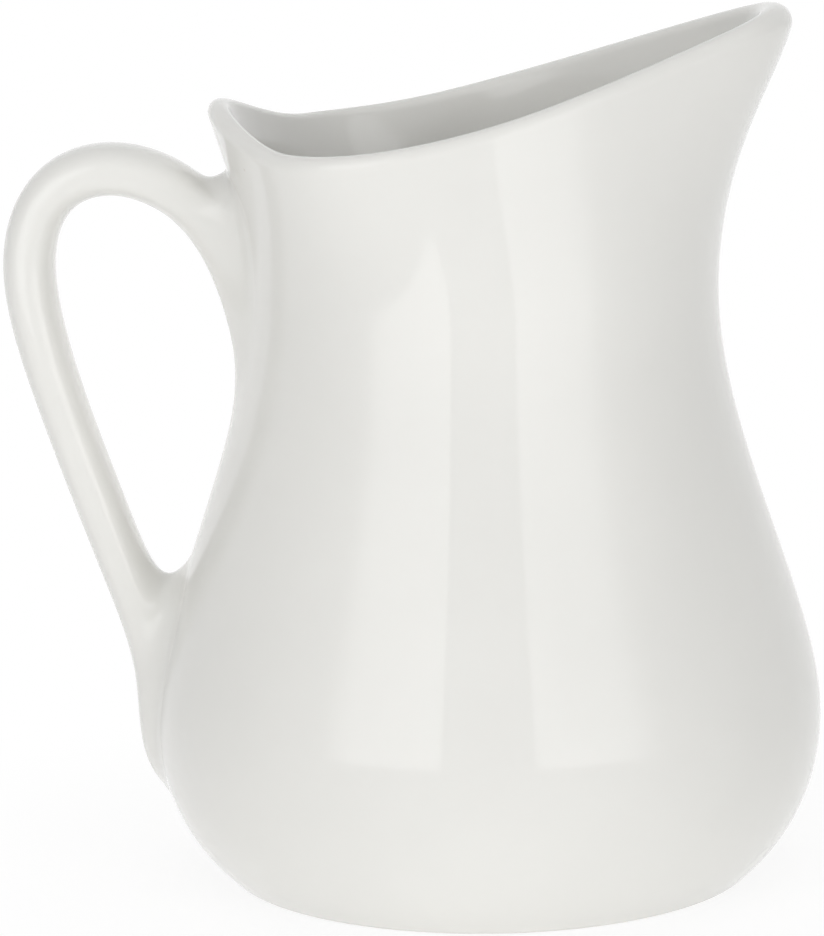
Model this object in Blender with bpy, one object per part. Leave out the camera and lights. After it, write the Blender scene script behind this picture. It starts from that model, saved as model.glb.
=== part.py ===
"""Ceramic pitcher: slip-cast porcelain body and handle, luted together with slip.

Metres, +Z up, +X towards the spout.  The mirror plane is Y = 0.  The origin lies on the
table under the middle of the overall length, so the turning axis of the body is off it.
"""

from math import cos, pi, radians, sin

import bmesh
import bpy
import numpy as np

for item in list(bpy.data.objects):
    bpy.data.objects.remove(item, do_unlink=True)

# ---- Driving dimensions -------------------------------------------------------------------

# Walls and clearances
WALL = 0.0042                 # thickness of the body wall
FLOOR = 0.0045                # thickness of the floor above the recess
CLEARANCE = 0.0003            # gap left between two pieces that touch
SLIP_FILM = 0.0008            # slip left between a handle end and the body
SLIP_EDGE = 0.0001            # thickness to which the wiped edge of the slip thins

# Foot: a flat ground ring round a shallow recess
FOOT_RADIUS = 0.0520          # where the outer wall would meet the table
FOOT_FLARE = radians(51.0)    # angle of the outer wall to the vertical at the foot
FOOT_DRAW = 0.0069            # how far the wall follows that angle
FOOT_ROUNDING = 0.0010        # outer edge of the ring
FOOT_RING_WIDTH = 0.0034      # flat, unglazed
RECESS_DEPTH = 0.0025
RECESS_ROUNDING = 0.0015
FLOOR_FILLET = 0.0120         # inside, between floor and wall
FILLET_DRAW = 0.6             # how far a fillet's handles reach towards its corner

# Round part: belly and waist.  A draw is the length of a curve's handle: its fullness there
BELLY_RADIUS = 0.0659
BELLY_HEIGHT = 0.0313
BELLY_DRAW_DOWN = 0.0169
BELLY_DRAW_UP = 0.0209
WAIST_RADIUS = 0.0461
WAIST_ABOVE_BELLY = 0.0836
WAIST_DRAW = 0.0287

# Lip: above the waist the front, the back and the sides lean out, each to its own place
SPOUT_OUT = 0.0149            # beyond the waist radius
SPOUT_UP = 0.0532             # above the waist
SPOUT_LEAN = radians(12.0)
SPOUT_DRAW = 0.0278
SPOUT_PULL = 0.0120
BACK_OUT = 0.0057
BACK_UP = 0.0327
BACK_LEAN = radians(17.0)
BACK_DRAW = 0.0175
BACK_PULL = 0.0090
SIDE_OUT = 0.0002
SIDE_UP = 0.0351
SIDE_LEAN = radians(3.0)
SIDE_DRAW = 0.0140
SIDE_PULL = 0.0140

# Plan of the lip: an egg, narrower at the spout, pinched where the beak is drawn out and
# fuller at both sides of the handle
EGG = 0.155
BEAK_PINCH = 0.10
BACK_SHOULDER = 0.40
BEAK_LIP = 0.0069             # thickness of the lip at the tip of the spout
BEAK_LIP_SPREAD = 0.50        # radians round the plan over which it thins to the wall

# Rim line in the side view, over the top of the lip.  Rises are above the waist
EAR_RISE = 0.0387
EAR_SLOPE = -0.76
DIP_RISE = 0.0314
DIP_BEHIND_AXIS = 0.0360
SPOUT_RISE = 0.0562
SPOUT_SLOPE = 0.30

# Handle: a strap bent in the mirror plane
STRAP_THICKNESS = 0.0101
STRAP_THINNEST = 0.0093       # on the straight run down to the lower joint
THINNING = (0.38, 0.69)       # shares of the centreline between which the strap thins
STRAP_WIDTH = 0.0175
STRAP_FULLNESS = 2.5          # exponent of the rounded section, where 2 is an ellipse
FINGER_ROOM = 0.0373          # clear width between the waist and the strap
CREST_INSET = 0.0163          # crest of the centreline, inwards of its outermost point
CREST_RISE = 0.0252
CREST_DRAW_IN = 0.0092
CREST_DRAW_OUT = 0.0107
OUTERMOST_RISE = 0.0057
OUTERMOST_DRAW_UP = 0.0114
OUTERMOST_DRAW_DOWN = 0.0130
UPPER_START_RISE = 0.0161     # start of the centreline, near the upper joint
UPPER_STANDOFF = 0.0057
UPPER_PITCH = radians(39.5)
UPPER_DRAW = 0.0032
LOWER_END_ABOVE_BELLY = 0.0209
LOWER_STANDOFF = 0.0062
LOWER_PITCH = radians(70.2)
LOWER_DRAW = 0.0362

# Joints.  Each is a pad on the body with a reach up, down and sideways from its middle.
# The strap flares into the pad from a slanting cut.  Three values run round the joint:
# on the outer side of the strap, on its flanks, on its finger side
UPPER_PAD_RISE = 0.0130
UPPER_PAD_UP = 0.0114
UPPER_PAD_DOWN = 0.0268
UPPER_PAD_HALF_WIDTH = 0.0110
UPPER_CUT = (0.0150, 0.0088, 0.0096)
UPPER_ANGLE = tuple(radians(a) for a in (78.8, 34.9, 11.8))
UPPER_STRAP_DRAW = (0.67, 0.54, 0.35)
UPPER_PAD_DRAW = (0.35, 0.29, 0.22)
LOWER_PAD_ABOVE_BELLY = 0.0110
LOWER_PAD_UP = 0.0175
LOWER_PAD_DOWN = 0.0247
LOWER_PAD_HALF_WIDTH = 0.0115
LOWER_CUT = (0.0028, 0.0070, 0.0182)
LOWER_ANGLE = tuple(radians(a) for a in (22.4, 41.7, 35.6))
LOWER_STRAP_DRAW = (0.61, 0.62, 0.78)
LOWER_PAD_DRAW = (0.28, 0.21, 0.29)

# Colours and finish
PORCELAIN_WHITE = (0.80, 0.80, 0.775)
GLAZE_ROUGHNESS = 0.12
SLIP_ROUGHNESS = 0.25

# ---- Fineness of the facets ---------------------------------------------------------------

AROUND_BODY = 72
AROUND_HANDLE = 24
ROWS_FOOT = 7
ROWS_BELLY = 12
ROWS_LIP = 8
ROWS_RIM = 6
ROWS_FLOOR = 5
ROWS_STRAP = 34
ROWS_SKIRT = 7
ROWS_FILLET = 4
ROWS_FOOT_EDGE = 4
RIM_PASSES = 40               # passes that bring the lip up to the rim line
RIM_STEP = 0.8                # share of the remaining height made good by a pass
CURVE_SAMPLES = 200
NORMAL_STEP = 0.0003          # step of the differences that give a surface normal
FACE_SHARES = (0.0, 0.35, 0.70)         # rings of a joint's end face, inside its outline
SHARP_EDGE = radians(40.0)

# ---- Heights and places that follow ------------------------------------------------------

WAIST_HEIGHT = BELLY_HEIGHT + WAIST_ABOVE_BELLY
SEAT = CLEARANCE + SLIP_FILM + CLEARANCE      # handle end above the body
OUTERMOST = WAIST_RADIUS + FINGER_ROOM + STRAP_THICKNESS / 2


def bezier(start, start_handle, end_handle, end, count):
    """Points on a cubic Bezier curve at equal steps of its parameter."""
    t = np.linspace(0.0, 1.0, count)
    t = t.reshape((count,) + (1,) * np.asarray(start).ndim)
    return ((1 - t) ** 3 * start + 3 * (1 - t) ** 2 * t * start_handle
            + 3 * (1 - t) * t ** 2 * end_handle + t ** 3 * end)


def smooth(share):
    """0 up to a share of 0, 1 from a share of 1, and level at both."""
    share = np.clip(share, 0.0, 1.0)
    return share ** 2 * (3 - 2 * share)


def hermite(x, x0, y0, slope0, x1, y1, slope1):
    """Cubic from (x0, y0) to (x1, y1) with a given slope at each end, held beyond them."""
    t = np.clip((x - x0) / (x1 - x0), 0.0, 1.0)
    rise = y0 + (y1 - y0) * (3 - 2 * t) * t ** 2
    return rise + (x1 - x0) * t * (1 - t) * (slope0 * (1 - t) - slope1 * t)


# ---- Body surface -------------------------------------------------------------------------

def outer_profile(out, up, lean, draw, pull):
    """Radii and heights of the outside from the table to the lip, and straight on above."""
    foot = np.array((FOOT_RADIUS, 0.0))
    belly = np.array((BELLY_RADIUS, BELLY_HEIGHT))
    waist = np.array((WAIST_RADIUS, WAIST_HEIGHT))
    lip = waist + (out, up)
    flare = np.array((sin(FOOT_FLARE), cos(FOOT_FLARE)))
    leaning = np.array((sin(lean), cos(lean)))
    spans = (
        bezier(foot, foot + FOOT_DRAW * flare, belly - (0.0, BELLY_DRAW_DOWN), belly,
               CURVE_SAMPLES),
        bezier(belly, belly + (0.0, BELLY_DRAW_UP), waist - (0.0, WAIST_DRAW), waist,
               CURVE_SAMPLES)[1:],
        bezier(waist, waist + (0.0, draw), lip - pull * leaning, lip, CURVE_SAMPLES)[1:],
        [lip + up * leaning],
    )
    return np.vstack(spans)


FRONT = outer_profile(SPOUT_OUT, SPOUT_UP, SPOUT_LEAN, SPOUT_DRAW, SPOUT_PULL)
BACK = outer_profile(BACK_OUT, BACK_UP, BACK_LEAN, BACK_DRAW, BACK_PULL)
SIDE = outer_profile(SIDE_OUT, SIDE_UP, SIDE_LEAN, SIDE_DRAW, SIDE_PULL)


def radius(profile, height):
    return np.interp(height, profile[:, 1], profile[:, 0])


def section(angle, height):
    """Outside of the body: a circle up to the waist, and an egg drawn out to a beak above.

    The front and back profiles give the length of a section and the side profile its width.
    """
    front = radius(FRONT, height)
    back = radius(BACK, height)
    side = radius(SIDE, height)
    along = np.cos(angle)
    shaped = smooth((height - WAIST_HEIGHT) / SPOUT_RISE)
    corner = np.sin(2 * angle) ** 2
    narrowing = EGG * along + corner * np.where(along > 0, BEAK_PINCH, BACK_SHOULDER * along)
    x = (front - back) / 2 + (front + back) / 2 * along
    y = side * np.sin(angle) * (1 - shaped * narrowing)
    return np.stack((x, y, height + 0 * angle), axis=-1)


def unit(vectors):
    return vectors / np.linalg.norm(vectors, axis=-1, keepdims=True)


def skin(angle, height, offset=0.0):
    """Point of the body's outside moved along the outward normal, with that normal."""
    angle, height = np.broadcast_arrays(angle, height)
    turn = NORMAL_STEP / BELLY_RADIUS
    low = np.maximum(height - NORMAL_STEP, 0.0)
    round_step = section(angle + turn, height) - section(angle - turn, height)
    up_step = section(angle, height + NORMAL_STEP) - section(angle, low)
    normal = unit(np.cross(round_step, up_step))
    return section(angle, height) + normal * np.asarray(offset)[..., None], normal


def rim_line(x):
    """Height of the top of the lip in the side view: ear, dip, and the rise to the spout."""
    behind = hermite(x, -WAIST_RADIUS - BACK_OUT, WAIST_HEIGHT + EAR_RISE, EAR_SLOPE,
                     -DIP_BEHIND_AXIS, WAIST_HEIGHT + DIP_RISE, 0.0)
    before = hermite(x, -DIP_BEHIND_AXIS, WAIST_HEIGHT + DIP_RISE, 0.0,
                     WAIST_RADIUS + SPOUT_OUT, WAIST_HEIGHT + SPOUT_RISE, SPOUT_SLOPE)
    return np.where(x < -DIP_BEHIND_AXIS, behind, before)


def lip_thickness(angle):
    """The lip is as thick as the wall, and fuller at the tip of the spout."""
    from_spout = (angle + pi) % (2 * pi) - pi
    return WALL + (BEAK_LIP - WALL) * np.exp(-(from_spout / BEAK_LIP_SPREAD) ** 2)


# ---- Solids -------------------------------------------------------------------------------

def porcelain(name, colour, roughness):
    material = bpy.data.materials.new(name)
    material.use_nodes = True
    shader = material.node_tree.nodes["Principled BSDF"]
    shader.inputs["Base Color"].default_value = (*colour, 1.0)
    shader.inputs["Roughness"].default_value = roughness
    shader.inputs["Metallic"].default_value = 0.0
    return material


def loft(name, rings, parent, material):
    """One closed solid through a stack of rings.  The first and last are single points."""
    mesh = bpy.data.meshes.new(name)
    build = bmesh.new()
    stack = [[build.verts.new(rings[0][0])]]
    for ring in rings[1:-1]:
        stack.append([build.verts.new(point) for point in ring])
    stack.append([build.verts.new(rings[-1][0])])
    around = len(stack[1])
    for lower, upper in zip(stack, stack[1:]):
        for here in range(around):
            there = (here + 1) % around
            if len(lower) == 1:
                build.faces.new((lower[0], upper[there], upper[here]))
            elif len(upper) == 1:
                build.faces.new((lower[here], lower[there], upper[0]))
            else:
                build.faces.new((lower[here], lower[there], upper[there], upper[here]))
    build.to_mesh(mesh)
    build.free()
    mesh.shade_smooth()
    mesh.set_sharp_from_angle(angle=SHARP_EDGE)
    mesh.materials.append(material)
    solid = bpy.data.objects.new(name, mesh)
    solid.parent = parent
    bpy.context.scene.collection.objects.link(solid)
    return solid


def body_rings():
    """Rings from under the floor, over the foot, up the outside, over the lip and down inside."""
    angle = np.arange(AROUND_BODY) * 2 * pi / AROUND_BODY

    def circle(size, height):
        return np.stack((size * np.cos(angle), size * np.sin(angle),
                         np.full_like(angle, height)), axis=-1)

    ring_outer = FOOT_RADIUS - FOOT_ROUNDING
    ring_inner = ring_outer - FOOT_RING_WIDTH
    recess = ring_inner - RECESS_ROUNDING
    underside = [circle(0.0, RECESS_DEPTH), circle(recess / 2, RECESS_DEPTH)]
    for turn in (0.0, pi / 4, pi / 2):
        underside.append(circle(recess + RECESS_ROUNDING * sin(turn),
                                RECESS_DEPTH - RECESS_ROUNDING * (1 - cos(turn))))
    underside.append(circle(ring_inner, 0.0))
    table_edge = np.array((FOOT_RADIUS, 0.0))
    wall_edge = np.array((radius(FRONT, FOOT_ROUNDING), FOOT_ROUNDING))
    foot_edge = bezier(np.array((ring_outer, 0.0)), table_edge, table_edge, wall_edge,
                       ROWS_FOOT_EDGE)
    underside += [circle(size, height) for size, height in foot_edge[:-1]]

    foot = np.linspace(FOOT_ROUNDING, BELLY_HEIGHT, ROWS_FOOT, endpoint=False)
    belly = np.linspace(BELLY_HEIGHT, WAIST_HEIGHT, ROWS_BELLY, endpoint=False)
    round_part = np.concatenate((foot, belly))

    # The wall of each column stops where its rounded lip reaches the rim line
    lip = lip_thickness(angle)
    top = np.full_like(angle, WAIST_HEIGHT + DIP_RISE)
    for _ in range(RIM_PASSES):
        centre, outward = skin(angle, top, -lip / 2)
        along_rim = unit(np.roll(centre, -1, axis=0) - np.roll(centre, 1, axis=0))
        upward = unit(np.cross(outward, along_rim))
        crest = centre + lip[:, None] / 2 * upward
        top = top + RIM_STEP * (rim_line(crest[:, 0]) - crest[:, 2])

    share = np.linspace(0.0, 1.0, ROWS_LIP + 1)[:, None]
    lip_part = WAIST_HEIGHT + share * (top - WAIST_HEIGHT)
    outside = [skin(angle, height)[0] for height in round_part]
    outside += [skin(angle, height)[0] for height in lip_part]

    rim = []
    for turn in np.linspace(0.0, pi, ROWS_RIM + 1)[1:-1]:
        rim.append(centre + lip[:, None] / 2 * (cos(turn) * outward + sin(turn) * upward))

    thickness = WALL + (lip - WALL) * share ** 3
    inside = [skin(angle, height, -wall)[0]
              for height, wall in zip(lip_part[::-1], thickness[::-1])]
    floor_height = RECESS_DEPTH + FLOOR
    bowl = round_part[round_part > floor_height + WALL / 2][::-1]
    inside += [skin(angle, height, -WALL)[0] for height in bowl]

    # The floor fillet leaves the wall along its own slope and runs out level
    wall_end, wall_above = inside[-1][0, ::2], inside[-2][0, ::2]
    slope = (wall_above[0] - wall_end[0]) / (wall_above[1] - wall_end[1])
    corner = np.array((wall_end[0] - (wall_end[1] - floor_height) * slope, floor_height))
    floor_end = corner - (FLOOR_FILLET, 0.0)
    fillet = bezier(wall_end, wall_end + FILLET_DRAW * (corner - wall_end),
                    floor_end + FILLET_DRAW * (corner - floor_end), floor_end, ROWS_FLOOR)
    floor = [circle(size, height) for size, height in fillet[1:]]
    floor.append(circle(floor_end[0] / 2, floor_height))
    floor.append(circle(0.0, floor_height))
    return underside + outside + rim + inside + floor


# ---- Handle -------------------------------------------------------------------------------

def strap_spine():
    """Centreline of the strap in X and Z, from the upper joint over the crest to the lower."""
    start_height = WAIST_HEIGHT + UPPER_START_RISE
    end_height = BELLY_HEIGHT + LOWER_END_ABOVE_BELLY
    start = np.array((-radius(BACK, start_height) - UPPER_STANDOFF, start_height))
    crest = np.array((CREST_INSET - OUTERMOST, WAIST_HEIGHT + CREST_RISE))
    outermost = np.array((-OUTERMOST, WAIST_HEIGHT + OUTERMOST_RISE))
    end = np.array((-radius(BACK, end_height) - LOWER_STANDOFF, end_height))
    leaving = np.array((-cos(UPPER_PITCH), sin(UPPER_PITCH)))
    landing = np.array((cos(LOWER_PITCH), -sin(LOWER_PITCH)))
    return np.vstack((
        bezier(start, start + UPPER_DRAW * leaving, crest + (CREST_DRAW_IN, 0.0), crest,
               CURVE_SAMPLES),
        bezier(crest, crest - (CREST_DRAW_OUT, 0.0), outermost + (0.0, OUTERMOST_DRAW_UP),
               outermost, CURVE_SAMPLES)[1:],
        bezier(outermost, outermost - (0.0, OUTERMOST_DRAW_DOWN), end - LOWER_DRAW * landing,
               end, CURVE_SAMPLES)[1:],
    ))


SPINE = strap_spine()
SPINE_LENGTH = np.concatenate(((0.0,), np.cumsum(np.linalg.norm(np.diff(SPINE, axis=0), axis=1))))
ROUND_STRAP = np.arange(AROUND_HANDLE) * 2 * pi / AROUND_HANDLE


def around_joint(values):
    """Outer, flank and finger-side values blended round the strap."""
    outer, flank, finger = values
    along = np.cos(ROUND_STRAP)
    end = np.where(along > 0, outer, finger)
    return end * along ** 2 + flank * np.sin(ROUND_STRAP) ** 2


def on_spine(distance):
    """Point and direction of the centreline at distances along it."""
    def at(place):
        return np.stack([np.interp(place, SPINE_LENGTH, SPINE[:, axis]) for axis in (0, 1)],
                        axis=-1)

    direction = unit(at(distance + NORMAL_STEP) - at(distance - NORMAL_STEP))
    return at(distance), direction


def strap_ring(distance):
    """Ring of the strap's section, which may be slanting, and the way the strap runs."""
    centre, along = on_spine(distance)
    power = 2 / STRAP_FULLNESS
    across = np.cos(ROUND_STRAP)
    sideways = np.sin(ROUND_STRAP)
    progress = (distance / SPINE_LENGTH[-1] - THINNING[0]) / (THINNING[1] - THINNING[0])
    thickness = STRAP_THICKNESS + (STRAP_THINNEST - STRAP_THICKNESS) * smooth(progress)
    across = np.sign(across) * np.abs(across) ** power * thickness / 2
    sideways = np.sign(sideways) * np.abs(sideways) ** power * STRAP_WIDTH / 2
    ring = np.stack((centre[:, 0] + along[:, 1] * across, sideways,
                     centre[:, 1] - along[:, 0] * across), axis=-1)
    running = np.stack((along[:, 0], 0 * sideways, along[:, 1]), axis=-1)
    return ring, running


class Joint:
    """A pad on the back of the body in which one end of the strap spreads and lands."""

    def __init__(self, height, outer_reach, finger_reach, half_width, outer_is_up, angle):
        self.height = height
        self.up = 1.0 if outer_is_up else -1.0
        across = np.cos(ROUND_STRAP)
        reach = finger_reach + (outer_reach - finger_reach) * smooth((1 + across) / 2)
        self.across = reach * across * self.up
        self.sideways = half_width * np.sin(ROUND_STRAP)
        outline = np.stack((self.across, self.sideways), axis=-1)
        tangent = np.roll(outline, -1, axis=0) - np.roll(outline, 1, axis=0)
        self.facing = self.up * unit(np.stack((tangent[:, 1], -tangent[:, 0]), axis=-1))
        self.angle = around_joint(angle)

    def fillet(self, share):
        """How far out and how high the slip stands, from the handle's edge (0) to its own (1).

        A parabola that leaves along the handle's surface and runs out level on the body.
        """
        corner = SEAT / np.tan(self.angle)
        end = SEAT / np.tan(self.angle / 2)
        return 2 * share * (1 - share) * corner + share ** 2 * end, SEAT * (1 - share) ** 2

    def at(self, share, offset, beyond=0.0):
        """Ring on the pad: a share of its outline, and a distance square to it beyond."""
        height = self.height + share * self.across + beyond * self.facing[:, 0]
        sideways = share * self.sideways + beyond * self.facing[:, 1]
        angle = pi - np.arcsin(sideways / radius(SIDE, height))
        return skin(angle, height, offset + 0 * height)

    def edge(self):
        """Outline of the handle's end, and the way its surface comes down on the body."""
        ring, normal = self.at(1.0, SEAT)
        outwards = unit(self.at(1.0, SEAT, beyond=NORMAL_STEP)[0] - ring)
        falling = outwards * np.cos(self.angle)[:, None] - normal * np.sin(self.angle)[:, None]
        return ring, unit(falling)


UPPER_JOINT = Joint(WAIST_HEIGHT + UPPER_PAD_RISE, UPPER_PAD_UP, UPPER_PAD_DOWN,
                    UPPER_PAD_HALF_WIDTH, True, UPPER_ANGLE)
LOWER_JOINT = Joint(BELLY_HEIGHT + LOWER_PAD_ABOVE_BELLY, LOWER_PAD_DOWN, LOWER_PAD_UP,
                    LOWER_PAD_HALF_WIDTH, False, LOWER_ANGLE)


def skirt(joint, cut, towards, strap_draw, pad_draw):
    """Rings that carry the strap's section over into the outline of its end.

    Each line round the strap is a Bezier curve that leaves along the strap and comes down
    on the pad at the joint's angle there.
    """
    start, running = strap_ring(cut)
    end, falling = joint.edge()
    span = np.linalg.norm(end - start, axis=1, keepdims=True)
    return bezier(start, start + towards * running * span * around_joint(strap_draw)[:, None],
                  end - falling * span * around_joint(pad_draw)[:, None], end, ROWS_SKIRT)


def handle_rings():
    """Rings from the upper end face along the strap to the lower end face."""
    upper_cut = around_joint(UPPER_CUT)
    lower_cut = SPINE_LENGTH[-1] - around_joint(LOWER_CUT)
    upper = skirt(UPPER_JOINT, upper_cut, -1.0, UPPER_STRAP_DRAW, UPPER_PAD_DRAW)
    lower = skirt(LOWER_JOINT, lower_cut, 1.0, LOWER_STRAP_DRAW, LOWER_PAD_DRAW)
    strap = [strap_ring(upper_cut + share * (lower_cut - upper_cut))[0]
             for share in np.linspace(0.0, 1.0, ROWS_STRAP)]
    upper_end = [UPPER_JOINT.at(share, SEAT)[0] for share in FACE_SHARES]
    lower_end = [LOWER_JOINT.at(share, SEAT)[0] for share in FACE_SHARES[::-1]]
    return upper_end + list(upper[:0:-1]) + strap + list(lower[1:]) + lower_end


def slip_rings(joint):
    """A film under the handle's end with the squeezed-out slip wiped to a hollow fillet."""
    film_top = CLEARANCE + SLIP_FILM
    thinnest = CLEARANCE + SLIP_EDGE
    rings = [joint.at(share, film_top)[0] for share in FACE_SHARES + (1.0,)]
    rim_share = 1 - (thinnest / SEAT) ** 0.5
    for share in np.linspace(0.0, rim_share, ROWS_FILLET + 1)[1:]:
        beyond, top = joint.fillet(share)
        rings.append(joint.at(1.0, min(film_top, top), beyond=beyond)[0])
    rings.append(joint.at(1.0, CLEARANCE, beyond=beyond)[0])
    rings += [joint.at(share, CLEARANCE)[0] for share in (1.0,) + FACE_SHARES[::-1]]
    return rings[::-1] if joint.up > 0 else rings


# ---- Assembly -----------------------------------------------------------------------------

body = body_rings()
handle = handle_rings()
furthest = max(ring[:, 0].max() for ring in body)
hindmost = min(ring[:, 0].min() for ring in handle)

axis = bpy.data.objects.new("pitcher_axis", None)
axis.location = (-(furthest + hindmost) / 2, 0.0, 0.0)
bpy.context.scene.collection.objects.link(axis)

glaze = porcelain("white_glazed_porcelain", PORCELAIN_WHITE, GLAZE_ROUGHNESS)
slip = porcelain("fired_slip", PORCELAIN_WHITE, SLIP_ROUGHNESS)
loft("body", body, axis, glaze)
loft("handle", handle, axis, glaze)
loft("upper_joint_slip", slip_rings(UPPER_JOINT), axis, slip)
loft("lower_joint_slip", slip_rings(LOWER_JOINT), axis, slip)
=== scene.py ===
from math import cos, pi, radians, sin, tan

import bpy
import numpy as np
from mathutils import Matrix, Vector


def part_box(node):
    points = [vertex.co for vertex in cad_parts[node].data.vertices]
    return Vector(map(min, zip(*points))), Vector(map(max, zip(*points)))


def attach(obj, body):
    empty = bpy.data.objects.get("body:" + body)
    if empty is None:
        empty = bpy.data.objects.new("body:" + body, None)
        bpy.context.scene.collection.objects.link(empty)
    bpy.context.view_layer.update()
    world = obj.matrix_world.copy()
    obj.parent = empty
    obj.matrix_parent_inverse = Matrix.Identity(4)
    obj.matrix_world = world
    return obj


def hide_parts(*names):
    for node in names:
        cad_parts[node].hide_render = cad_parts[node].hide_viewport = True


# A white porcelain pitcher, put together as it is made: the cast body, its glaze, the
# handle, the slip that lutes the handle on, and then the table and the light tent.
# All lengths are in metres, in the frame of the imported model.
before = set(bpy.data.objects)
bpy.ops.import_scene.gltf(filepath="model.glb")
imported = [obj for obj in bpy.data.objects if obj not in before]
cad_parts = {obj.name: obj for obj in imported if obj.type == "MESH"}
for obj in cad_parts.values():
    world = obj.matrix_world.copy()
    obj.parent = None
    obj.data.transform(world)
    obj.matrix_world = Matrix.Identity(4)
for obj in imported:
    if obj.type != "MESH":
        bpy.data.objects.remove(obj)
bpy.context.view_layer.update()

# ---- Body -----------------------------------------------------------------------------
# The vessel, cast in one piece from porcelain slip: foot ring, round belly, waist, and a
# rim that climbs from a small ear at the back to a beak drawn out at the front.  It is
# turned about its own axis up to the waist and pulled out of round above it.

body_low, body_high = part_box("body")
BELLY_RADIUS = (body_high.y - body_low.y) / 2
AXIS = np.array((body_high.x - BELLY_RADIUS, (body_low.y + body_high.y) / 2, 0.0))

WALL = 0.0042
FLOOR = 0.0045
FOOT_RADIUS = 0.0520
FOOT_FLARE = radians(51.0)
FOOT_DRAW = 0.0069
FOOT_ROUNDING = 0.0010
FOOT_RING_WIDTH = 0.0034
RING_EDGE = 0.0003
RECESS_DEPTH = 0.0025
RECESS_ROUNDING = 0.0015
FLOOR_FILLET = 0.0120
FILLET_DRAW = 0.6
BELLY_HEIGHT = 0.0313
BELLY_DRAW_DOWN = 0.0169
BELLY_DRAW_UP = 0.0209
WAIST_RADIUS = 0.0461
WAIST_HEIGHT = BELLY_HEIGHT + 0.0836
WAIST_DRAW = 0.0287
EGG = 0.155
BEAK_PINCH = 0.10
BACK_SHOULDER = 0.40
BEAK_LIP = 0.0069
BEAK_LIP_SPREAD = 0.50
EAR_RISE = 0.0387
EAR_SLOPE = -0.76
DIP_RISE = 0.0314
DIP_BEHIND_AXIS = 0.0360
SPOUT_RISE = 0.0562
SPOUT_SLOPE = 0.30
SPOUT_OUT = 0.0149            # how far the lip leans out past the waist, at the beak
BACK_OUT = 0.0057             # and at the ear
LEVELLING = 0.006             # reach of the glaze's levelling along the wall
INNERMOST = 0.002             # radius of the last ring before the middle of a flat
CURVE_POINTS = 900            # on each cubic of a profile or a centreline
NORMAL_STEP = 0.0004          # step of the differences that give a normal
AROUND_BODY = 240
ROWS_FLAT, ROWS_HOLLOW, ROWS_RING_EDGE, ROWS_FOOT_EDGE = 8, 8, 5, 9
ROWS_FOOT, ROWS_BELLY, ROWS_LIP, ROWS_CREST, ROWS_FILLET = 26, 58, 52, 25, 14
RIM_PASSES = 40               # passes that bring the lip up to the rim line
RIM_STEP = 0.8                # share of the remaining height made good by a pass
SHARP_EDGE = radians(35.0)


def bezier(start, start_handle, end_handle, end, count):
    """Points on a cubic Bezier curve at equal steps of its parameter."""
    t = np.linspace(0.0, 1.0, count)
    t = t.reshape((count,) + (1,) * np.asarray(start).ndim)
    return ((1 - t) ** 3 * start + 3 * (1 - t) ** 2 * t * start_handle
            + 3 * (1 - t) * t ** 2 * end_handle + t ** 3 * end)


def smooth(share):
    """0 up to a share of 0, 1 from a share of 1, and level at both: 3 s^2 - 2 s^3."""
    share = np.clip(share, 0.0, 1.0)
    return share ** 2 * (3 - 2 * share)


def hermite(x, x0, y0, slope0, x1, y1, slope1):
    """Cubic from (x0, y0) to (x1, y1) with a given slope at each end, held beyond them."""
    t = np.clip((x - x0) / (x1 - x0), 0.0, 1.0)
    rise = y0 + (y1 - y0) * (3 - 2 * t) * t ** 2
    return rise + (x1 - x0) * t * (1 - t) * (slope0 * (1 - t) - slope1 * t)


def unit(vectors):
    """Vectors divided by their lengths."""
    return vectors / np.linalg.norm(vectors, axis=-1, keepdims=True)


HEIGHTS = np.arange(-0.02, 0.25, 0.0002)


def outer_profile(out, up, lean, draw, pull):
    """Radius of the outside at each of HEIGHTS.

    Three cubic curves, foot to belly to waist to lip, with straight ends beyond, and then
    a running mean over the reach of the glaze, weighted by a raised cosine.
    """
    foot = np.array((FOOT_RADIUS, 0.0))
    belly = np.array((BELLY_RADIUS, BELLY_HEIGHT))
    waist = np.array((WAIST_RADIUS, WAIST_HEIGHT))
    lip = waist + (out, up)
    flare = np.array((sin(FOOT_FLARE), cos(FOOT_FLARE)))
    leaning = np.array((sin(lean), cos(lean)))
    points = np.vstack((
        [foot - up * flare],
        bezier(foot, foot + FOOT_DRAW * flare, belly - (0, BELLY_DRAW_DOWN), belly,
               CURVE_POINTS),
        bezier(belly, belly + (0, BELLY_DRAW_UP), waist - (0, WAIST_DRAW), waist,
               CURVE_POINTS)[1:],
        bezier(waist, waist + (0, draw), lip - pull * leaning, lip, CURVE_POINTS)[1:],
        [lip + 2 * up * leaning],
    ))
    rough = np.interp(HEIGHTS, points[:, 1], points[:, 0])
    reach = int(LEVELLING / (HEIGHTS[1] - HEIGHTS[0]))
    weight = np.hanning(2 * reach + 1)
    padded = np.pad(rough, reach, mode="edge")
    return np.convolve(padded, weight / weight.sum(), mode="valid")


FRONT = outer_profile(out=SPOUT_OUT, up=0.0532, lean=radians(12.0), draw=0.0278, pull=0.0120)
BACK = outer_profile(out=BACK_OUT, up=0.0327, lean=radians(17.0), draw=0.0175, pull=0.0090)
SIDE = outer_profile(out=0.0002, up=0.0351, lean=radians(3.0), draw=0.0140, pull=0.0140)


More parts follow.
